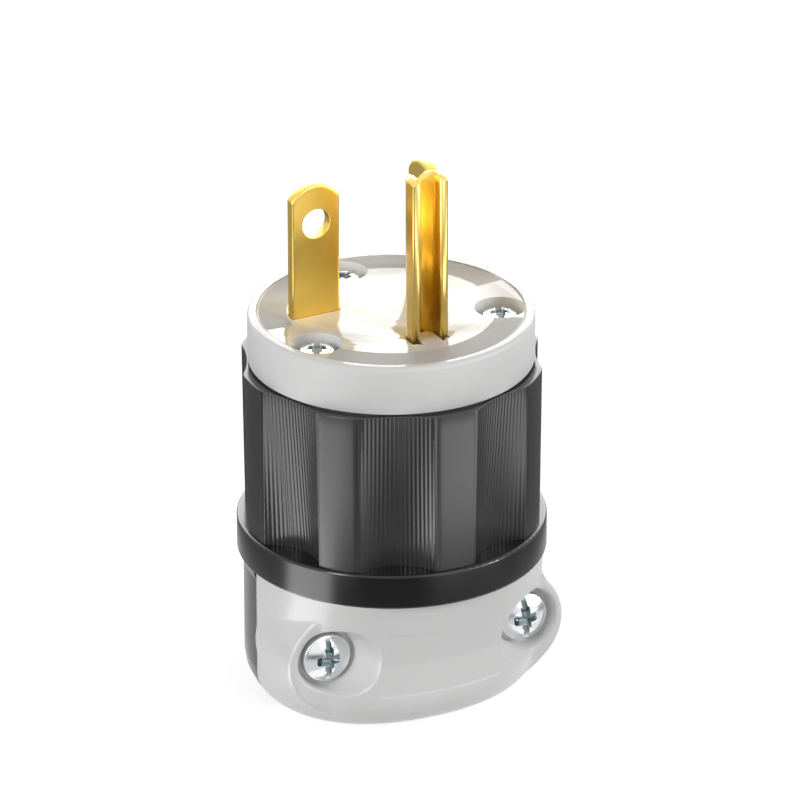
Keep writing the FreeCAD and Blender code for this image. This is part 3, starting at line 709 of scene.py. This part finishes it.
def brick(half, y0, y1, z0, z1):
    """A plain box, centred across, as a closed shell."""
    points = [(x, y, z) for x in (-half, half) for y in (y0, y1) for z in (z0, z1)]
    faces = [(0, 1, 3, 2), (4, 6, 7, 5), (0, 4, 5, 1), (2, 3, 7, 6), (0, 2, 6, 4), (1, 5, 7, 3)]
    return shell(points, [np.array(faces)])


def moved_shell(part, turn, x=0.0, y=0.0, z=0.0):
    """A shell turned about Z and moved."""
    points = part[0]
    across, along = turned_points(points[:, 0], points[:, 1], turn)
    return np.stack([across + x, along + y, points[:, 2] + z], axis=-1), part[1], part[2]


def pin_wall(half, wall, depth, low, top):
    """The ground pin's U-shaped wall, open towards -Y, as loops that march along the U.

    The U is two straight legs and a half circle. Each loop goes up the outside, over the bevelled
    top and down the inside. A soft minimum with a plane at each end bevels the legs' tips, and one
    with a 45 degree V cuts the notch in the back. Marks are 1 on the rounded ends and the bevel,
    where they lay a painted highlight of paler brass.
    """
    edge, bevel, notch = 0.32, 0.6, 1.6
    centre, middle = depth / 2.0 - half, half - wall / 2.0
    leg = centre + depth / 2.0
    arc = math.pi * middle
    ends = edge * (1.0 - np.cos(np.radians(np.linspace(0.0, 90.0, 6))))
    start = np.concatenate([ends, np.linspace(edge + 0.06, leg, 12)])
    bend = leg + np.linspace(0.0, arc, 121)[1:-1]
    run = np.concatenate([start, bend, (2.0 * leg + arc - start)[::-1]])[:, None]
    turn = math.pi - np.clip((run - leg) / middle, 0.0, math.pi)
    off = np.minimum(run, 2.0 * leg + arc - run)
    x = middle * np.cos(turn)
    y = centre + middle * np.sin(turn) - np.maximum(leg - off, 0.0)
    inner = np.minimum(off, edge)
    thick = wall / 2.0 - edge + np.sqrt(np.maximum(edge ** 2 - (edge - inner) ** 2, 0.0))
    share = 1.0 - 2.0 * bevel / wall
    # Each point of the loop: its side of the wall, its height and its mark of painted highlight
    profile = np.array([
        (1.0, low, 0.0), (1.0, top - bevel - 0.2, 0.0), (1.0, top - bevel - 0.06, 0.3),
        (0.95, top - bevel + 0.02, 1.0), (0.5, top - bevel / 2 - 0.02, 0.6),
        (share + 0.1, top - 0.07, 0.8), (share - 0.1, top, 1.0), (share - 0.3, top, 0.4),
        (-0.72, top, 0.6), (-0.92, top - 0.05, 1.0), (-1.0, top - 0.16, 0.3), (-1.0, low, 0.0),
    ])[None, :, :]
    across = x + np.cos(turn) * thick * profile[..., 0]
    along = y + np.sin(turn) * thick * profile[..., 0]
    rise = soft_min(profile[..., 1] + 0.0 * across, top - bevel + off + 0.0 * across, 0.12)
    cut = np.where(along > 0.0, top - notch + np.abs(across), top + 9.0)
    rise = np.maximum(soft_min(rise, cut, 0.12), low)
    points = np.stack([across, along, rise], axis=-1)
    # Painted highlight on the rounded ends of the legs
    rounded_end = ramp(edge - off, 0.0, edge)
    marks = np.maximum(profile[..., 2], rounded_end + 0.0 * across)
    rows, columns = across.shape
    near = np.arange(columns // 2)
    far = columns - 1 - near
    face = np.stack([near[:-1], near[1:], far[1:], far[:-1]], axis=-1)
    last = (rows - 1) * columns
    faces = [grid_quads(rows, columns, wrap_columns=True), face[:, ::-1], face + last]
    return shell(points, faces, marks)


class PLUG_OT_blades(bpy.types.Operator):
    """Build the blades and the ground pin, and dress the brass terminal screws"""

    bl_idname = "plug.blades"
    bl_label = "Blades and pin"

    def execute(self, context):
        # Rolled brass, with a painted highlight of paler brass that the marks lay on rounded edges,
        # bevels and hole rims
        finishes = context.scene.plug_finishes
        brass = metal_with_painted_light("brass", finishes.brass, 0.94, 0.28, 0.34, finishes.edge_highlight, 0.30)
        # A blade is a plate round its detent hole, a tab round its tapped hole, and a shoulder.
        neck, shoulder, shoulder_rise = SHELL_TOP - 2.0, 4.3, 2.0
        hole_z, screw_z, tab_foot = FACE_TOP + 11.9, 33.2, 29.2
        thickness, half, blade_y = 1.52, 6.35 / 2.0, 3.64
        length, tip, detent, tapped, edge = 16.9, 3.7, 1.85, 1.5, 0.05
        crown = (FACE_TOP + length - tip - hole_z, tip)
        blade = holed_plate(half, hole_z - neck, None, crown, thickness, 0.3, detent)
        tab_sizes = (screw_z - tab_foot, neck + 1.0 - screw_z, None)
        tab = holed_plate(half, *tab_sizes, thickness, edge, tapped)
        upright = (
            moved_shell(blade, 0.0, z=hole_z),
            moved_shell(tab, 0.0, x=-0.7, z=screw_z),
            brick(shoulder, -thickness / 2.0, thickness / 2.0, neck, neck + shoulder_rise),
        )
        for name, turn, x in (("across", 180.0, -8.55), ("edgeways", 90.0, 6.53)):
            place = math.radians(turn)
            shells = [moved_shell(part, place, x, blade_y) for part in upright]
            piece = mesh_object("blade_" + name + "_rolled", shells, brass)
            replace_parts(piece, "blade_" + name)
        pin_x, pin_y, pin_half, wall, depth = 0.18, -8.27, 4.75 / 2.0, 1.0, 3.8
        back, length = depth / 2.0, 21.0
        strip = holed_plate(pin_half, *tab_sizes, wall, edge, tapped)
        upright = (
            pin_wall(pin_half, wall, depth, neck, FACE_TOP + length),
            moved_shell(strip, 0.0, y=back - wall / 2.0, z=screw_z),
            brick(shoulder, back - wall, back, neck, neck + shoulder_rise),
        )
        shells = [moved_shell(part, 0.0, pin_x, pin_y) for part in upright]
        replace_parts(mesh_object("ground_pin_rolled", shells, brass), "ground_pin")
        for node in ("terminal_screw_across", "terminal_screw_edgeways"):
            dress(node, brass)
        return {"FINISHED"}


def driven_screw(radius, side, height, shank, end, span, turn, sizes):
    """A domed screw on Z as rings of points in millimetres, with painted shade deep in its
    recesses.

    The top is a sphere's cap over rings of growing radius. The slot sinks it to a flat floor, and
    the two arms of the cross sink it to floors that rise outwards, each through a steep smooth
    step. Below the rim the rings follow the side, the seat and the shank.
    """
    columns = 300
    edge = sizes.edge / MM
    half = sizes.slot_width / MM / 2.0
    wide = sizes.cross_width / MM / 2.0
    spin = np.linspace(0.0, 2.0 * math.pi, columns, endpoint=False)[None, :]
    ring = np.linspace(0.02, radius - edge, 64)[:, None]
    dome = (radius ** 2 + (height - side) ** 2) / (2.0 * (height - side))
    cap = height - dome + np.sqrt(dome ** 2 - ring ** 2)
    u = ring * np.cos(spin - turn)
    v = ring * np.sin(spin - turn)
    surface = top = cap + 0.0 * u
    slot_depth, cross_depth, step = 0.8, 1.25, 0.05
    arms = (
        (u, v, 2.0 * radius, slot_depth, half),
        (u, v, span / 2.0, cross_depth, wide),
        (v, u, span / 2.0, cross_depth, wide),
    )
    for a, b, reach, low, open_half in arms:
        rising = np.clip((np.abs(a) - wide) / (span / 2.0 - wide), 0.0, 1.0)
        floor = height - low * (1.0 - rising if reach < radius else 1.0)
        mask = ramp(open_half - np.abs(b), -step, step) * ramp(reach - np.abs(a), -step, step)
        surface = np.minimum(surface, top + (np.minimum(floor, top) - top) * mask)
    # Painted shade: the deeper a point lies in the recesses, the more of the dark teal it takes
    recess_shade = ramp(top - surface, 0.05, 0.35)
    rings = [(ring, surface)]
    for fall in np.radians(np.linspace(15.0, 90.0, 5)):
        drop = edge * (1.0 - math.cos(fall))
        rings.append((radius - edge * (1.0 - math.sin(fall)), surface[-1:] - drop))
    for r, z in ((radius, 0.0), (shank, 0.0), (shank, -end)):
        rings.append((r, np.full_like(spin, z)))
    radii = np.concatenate([np.broadcast_to(r, z.shape) for r, z in rings])
    levels = np.concatenate([z for r, z in rings])
    x, y = radii * np.cos(spin), radii * np.sin(spin)
    points = np.stack([x, y, levels], axis=-1).reshape(-1, 3)
    poles = np.array([[0.0, 0.0, height - cross_depth], [0.0, 0.0, -end]])
    rows = len(radii)
    here = np.arange(columns)
    beside = (here + 1) % columns
    count = rows * columns
    last = count - columns
    fans = [
        np.stack([0 * here + count, beside, here], axis=-1),
        np.stack([0 * here + count + 1, last + here, last + beside], axis=-1),
    ]
    quads = grid_quads(rows, columns, wrap_columns=True)
    marks = np.zeros(count + 2)
    marks[: recess_shade.size] = recess_shade.ravel()
    marks[count] = 1.0
    return shell(np.concatenate([points, poles]), [quads] + fans, marks)


class PLUG_OT_fasteners(bpy.types.Operator):
    """Build the driven screws, and dress the nuts, pressure plates and the green screw"""

    bl_idname = "plug.fasteners"
    bl_label = "Fasteners"

    def execute(self, context):
        finishes = context.scene.plug_finishes
        sizes = context.scene.plug_screws
        # Zinc plate, with painted shade in dark teal at the bottom of the driven recesses
        rgb = finishes.zinc
        plate = metal_with_painted_light("driven_zinc_painted_shade", rgb, 0.88, 0.16, 0.26, finishes.recess_shade, 0.72)
        # Each head: radius, tops of its side and its dome, shank, length, and span of its cross
        ring, seat = 13.1, FACE_TOP - 2.0
        head = (sizes.face_radius / MM, 1.1, 1.6, 1.6, seat - 23.4, 2.7)
        places = (("rear", 90.0, 20.0), ("left", 200.5, 63.0), ("right", 336.0, 70.0))
        for name, place, turn in places:
            screw = driven_screw(*head, math.radians(turn), sizes)
            x, y = ring * math.cos(math.radians(place)), ring * math.sin(math.radians(place))
            self.finish("assembly_screw_" + name, moved_shell(screw, 0.0, x, y, seat), plate)
        head = (sizes.clamp_radius / MM, 0.85, 1.9, 1.75, 15.2, 3.9)
        seat = WELL_FLOOR - 0.03
        for name, x, turn in (("left", -CLAMP_SCREW_X, 90.0), ("right", CLAMP_SCREW_X, 95.0)):
            points, faces, marks = driven_screw(*head, math.radians(turn), sizes)
            lying = [points[:, 0] + x, seat - points[:, 2], points[:, 1] + CLAMP_SCREW_Z]
            screw = (np.stack(lying, axis=-1), faces, marks)
            self.finish("clamp_screw_" + name, moved_shell(screw, REAR_TURN), plate)
        zinc = metal("zinc_plate", rgb, shade(rgb, 0.85), 0.2, 0.3)[0]
        for node in NODES:
            if node.startswith(("pressure_plate_", "clamp_nut_")):
                dress(node, zinc)
        green = finishes.green
        green_plate = metal("green_plate", green, shade(green, 0.8), 0.25, 0.35)[0]
        dress("terminal_screw_ground", green_plate)
        return {"FINISHED"}

    def finish(self, node, screw, material):
        """Makes one screw's mesh in place of the solid."""
        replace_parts(mesh_object(node + "_driven", [screw], material), node)


def studio_camera(studio):
    """The camera at the photograph's angle, turned slightly off the face's centre."""
    azimuth, elevation = studio.azimuth, studio.elevation
    back = np.array([
        math.sin(azimuth) * math.cos(elevation),
        -math.cos(azimuth) * math.cos(elevation),
        math.sin(elevation),
    ])
    right = np.cross(-back, (0.0, 0.0, 1.0))
    right /= np.linalg.norm(right)
    axes = np.stack([right, np.cross(right, -back), -back])
    # Focal length, width of the image and place of the face's centre in it, in pixels
    focal, frame_width, centre_x, centre_y = 7846.58, 800.0, 391.395, 309.862
    middle = frame_width / 2.0
    aim = np.array([(centre_x - middle) / focal, (middle - centre_y) / focal, 1.0])
    aim /= np.linalg.norm(aim)
    tilt = np.cross((0.0, 0.0, 1.0), aim)
    skew = np.array([[0.0, -tilt[2], tilt[1]], [tilt[2], 0.0, -tilt[0]], [-tilt[1], tilt[0], 0.0]])
    axes = (np.eye(3) + skew + skew @ skew / (1.0 + aim[2])) @ axes
    roll = math.radians(0.174)
    cosine, sine = math.cos(roll), math.sin(roll)
    axes = np.array([[cosine, -sine, 0.0], [sine, cosine, 0.0], [0.0, 0.0, 1.0]]) @ axes
    lens = bpy.data.cameras.new("studio_camera")
    lens.sensor_width = 36.0
    lens.lens = focal / frame_width * 36.0
    lens.clip_start = 0.05
    lens.clip_end = 20.0
    camera = bpy.data.objects.new("studio_camera", lens)
    bpy.context.scene.collection.objects.link(camera)
    place = Matrix([list(row) for row in np.stack([axes[0], axes[1], -axes[2]], axis=1)]).to_4x4()
    place.translation = back * studio.distance + np.array([0.0, 0.0, FACE_TOP * MM])
    camera.matrix_world = place
    bpy.context.scene.camera = camera


def lamp(name, place, target, size, power):
    """A soft rectangular lamp aimed at a point."""
    light = bpy.data.lights.new(name, "AREA")
    light.shape = "RECTANGLE"
    light.size, light.size_y = size
    light.energy = power
    item = bpy.data.objects.new(name, light)
    bpy.context.scene.collection.objects.link(item)
    item.location = place
    item.rotation_mode = "QUATERNION"
    item.rotation_quaternion = (Vector(place) - Vector(target)).to_track_quat("Z", "Y")


def gloss_panel(name, points, quads, glow):
    """A panel of the studio that only reflections show, with its own strength at each point."""
    mesh = bpy.data.meshes.new(name)
    mesh.from_pydata(points.tolist(), [], quads.tolist())
    layer = mesh.attributes.new("glow", "FLOAT", "POINT")
    layer.data.foreach_set("value", np.asarray(glow, np.float32))
    panel = bpy.data.objects.new(name, mesh)
    bpy.context.scene.collection.objects.link(panel)
    material, tree = new_material(name)[:2]
    tree.nodes.clear()
    shine = add(tree, "ShaderNodeEmission")
    mark = add(tree, "ShaderNodeAttribute", attribute_name="glow")
    wire(tree, mark.outputs["Fac"], shine.inputs["Strength"])
    wire(tree, shine.outputs["Emission"], add(tree, "ShaderNodeOutputMaterial").inputs["Surface"])
    mesh.materials.append(material)
    for ray in ("camera", "diffuse", "transmission", "volume_scatter", "shadow"):
        setattr(panel, "visible_" + ray, False)


def floor_sheen(studio):
    """The ring of light and dark on the table round the plug, which its upright gloss mirrors.

    The strength is a function of the angle from the camera's side and of the radius. It is light
    at the plug's foot for the clamp's screws, dark round that and towards the camera, bright to
    the left and right in a ring that the lands mirror, brightest in a small patch at the left that
    the collar mirrors, and plain far out.
    """
    foot, dark, far = 0.6, 0.10, 0.42
    turn = np.radians(np.linspace(-180.0, 180.0, 241))[None, :]
    radius = np.linspace(0.024, 0.450, 214)[:, None]
    side = np.degrees(turn) + 0.0 * radius
    off = np.abs(side)
    outside = ramp(radius, 0.118, 0.128)
    ring = ramp(radius, 0.066, 0.076) * (1.0 - outside)
    lobe = ramp(off, 16.0, 36.0) * (1.0 - ramp(off, 62.0, 90.0))
    patch = ramp(side, -74.0, -68.0) * ramp(-side, 36.0, 42.0) * (1.0 - ramp(radius, 0.070, 0.076))
    near = dark + 0.20 * ramp(off, 50.0, 80.0) - 0.10 * ramp(off, 96.0, 112.0)
    near = near + foot * (1.0 - ramp(radius, 0.046, 0.056))
    glow = near * (1.0 - outside) + far * outside + studio.sheen * (ring * lobe + 1.35 * patch)
    ahead = math.radians(-90.0) + studio.azimuth
    x = radius * np.cos(turn + ahead)
    y = radius * np.sin(turn + ahead)
    points = np.stack([x, y, np.full_like(x, 0.0006)], axis=-1).reshape(-1, 3)
    gloss_panel("floor_sheen", points, grid_quads(radius.size, turn.size), glow.ravel())


def upright_panel(name, bearing, half_width, low, high, glow):
    """A bright upright panel at a bearing from +X, over half a metre from the plug."""
    apart = 0.55
    away = np.array([math.cos(bearing), math.sin(bearing)])
    beside = np.array([away[1], -away[0]])
    corners = [(-half_width, low), (half_width, low), (half_width, high), (-half_width, high)]
    points = np.array([[*(away * apart + beside * across), rise] for across, rise in corners])
    gloss_panel(name, points, np.array([[0, 1, 2, 3]]), [glow] * 4)


class PLUG_OT_stage(bpy.types.Operator):
    """Set up the floor, the lamps, the world and the camera"""

    bl_idname = "plug.stage"
    bl_label = "Stage"

    def execute(self, context):
        scene = context.scene
        studio = scene.plug_studio
        scene.view_settings.view_transform = "Standard"
        size = 1.5
        corners = [(-size, -size, 0.0), (size, -size, 0.0), (size, size, 0.0), (-size, size, 0.0)]
        mesh = bpy.data.meshes.new("floor")
        mesh.from_pydata(corners, [], [(0, 1, 2, 3)])
        floor = bpy.data.objects.new("floor", mesh)
        scene.collection.objects.link(floor)
        material, tree, shader = new_material("floor_paper")
        shader.inputs["Base Color"].default_value = (0.6, 0.6, 0.6, 1.0)
        shader.inputs["Roughness"].default_value = 1.0
        shader.inputs["Specular IOR Level"].default_value = 0.0
        shader.inputs["Emission Color"].default_value = (1.0, 1.0, 1.0, 1.0)
        glow = map_range(tree, background_rays(tree), 0.0, 1.0, 0.0, 0.75)
        wire(tree, glow, shader.inputs["Emission Strength"])
        mesh.materials.append(material)
        world = bpy.data.worlds.new("studio_world")
        scene.world = world
        world.use_nodes = True
        tree = world.node_tree
        background = tree.nodes["Background"]
        background.inputs["Color"].default_value = (1.0, 1.0, 1.0, 1.0)
        strength = map_range(tree, background_rays(tree), 0.0, 1.0, studio.ambient, 1.0)
        wire(tree, strength, background.inputs["Strength"])
        centre = (0.0, 0.0, 0.035)
        lamp("overhead_lamp", (0.05, 0.1, 0.75), centre, (0.6, 0.6), 0.35)
        lamp("left_lamp", (-0.84, -0.36, 0.30), centre, (0.18, 0.45), 4.1)
        lamp("right_lamp", (0.80, -0.54, 0.30), centre, (0.22, 0.40), 4.7)
        floor_sheen(studio)
        # The face mirrors the first panel to the camera, and the second to the blade's front.
        upright_panel("rear_gleam", math.pi / 2.0 + studio.azimuth, 0.45, 0.06, 0.75, studio.gleam)
        upright_panel("front_gleam", -math.pi / 2.0 - studio.azimuth, 0.30, 0.15, 0.55, studio.lift)
        studio_camera(studio)
        return {"FINISHED"}


def background_rays(tree):
    """1 for rays that see the backdrop itself: from the camera, a mirror or a clear body."""
    path = add(tree, "ShaderNodeLightPath")
    seen = combine(tree, "MAXIMUM", path.outputs["Is Camera Ray"], path.outputs["Is Glossy Ray"])
    return combine(tree, "MAXIMUM", seen, path.outputs["Is Transmission Ray"])


class PLUG_PT_panel(bpy.types.Panel):
    """Steps and sizes of the plug"""

    bl_label = "Straight blade plug"
    bl_idname = "PLUG_PT_panel"
    bl_space_type = "VIEW_3D"
    bl_region_type = "UI"
    bl_category = "Plug"

    def draw(self, context):
        layout = self.layout
        for step in STEPS:
            layout.operator(step.bl_idname)
        for name, group in GROUPS:
            settings = getattr(context.scene, name)
            box = layout.box()
            for key in group.__annotations__:
                box.prop(settings, key)


STEPS = (
    PLUG_OT_mouldings, PLUG_OT_grip, PLUG_OT_clamp, PLUG_OT_blades, PLUG_OT_fasteners,
    PLUG_OT_stage,
)
GROUPS = (
    ("plug_finishes", PlugFinishes),
    ("plug_clamp", PlugClamp),
    ("plug_grip", PlugGrip),
    ("plug_screws", PlugScrews),
    ("plug_studio", PlugStudio),
)


def register():
    for name, group in GROUPS:
        bpy.utils.register_class(group)
        setattr(bpy.types.Scene, name, PointerProperty(type=group))
    for item in STEPS + (PLUG_PT_panel,):
        bpy.utils.register_class(item)


def unregister():
    for item in reversed(STEPS + (PLUG_PT_panel,)):
        bpy.utils.unregister_class(item)
    for name, group in reversed(GROUPS):
        delattr(bpy.types.Scene, name)
        bpy.utils.unregister_class(group)


def main():
    """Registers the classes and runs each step."""
    register()
    bpy.ops.plug.mouldings()
    bpy.ops.plug.grip()
    bpy.ops.plug.clamp()
    bpy.ops.plug.blades()
    bpy.ops.plug.fasteners()
    bpy.ops.plug.stage()


if __name__ == "__main__":
    main()
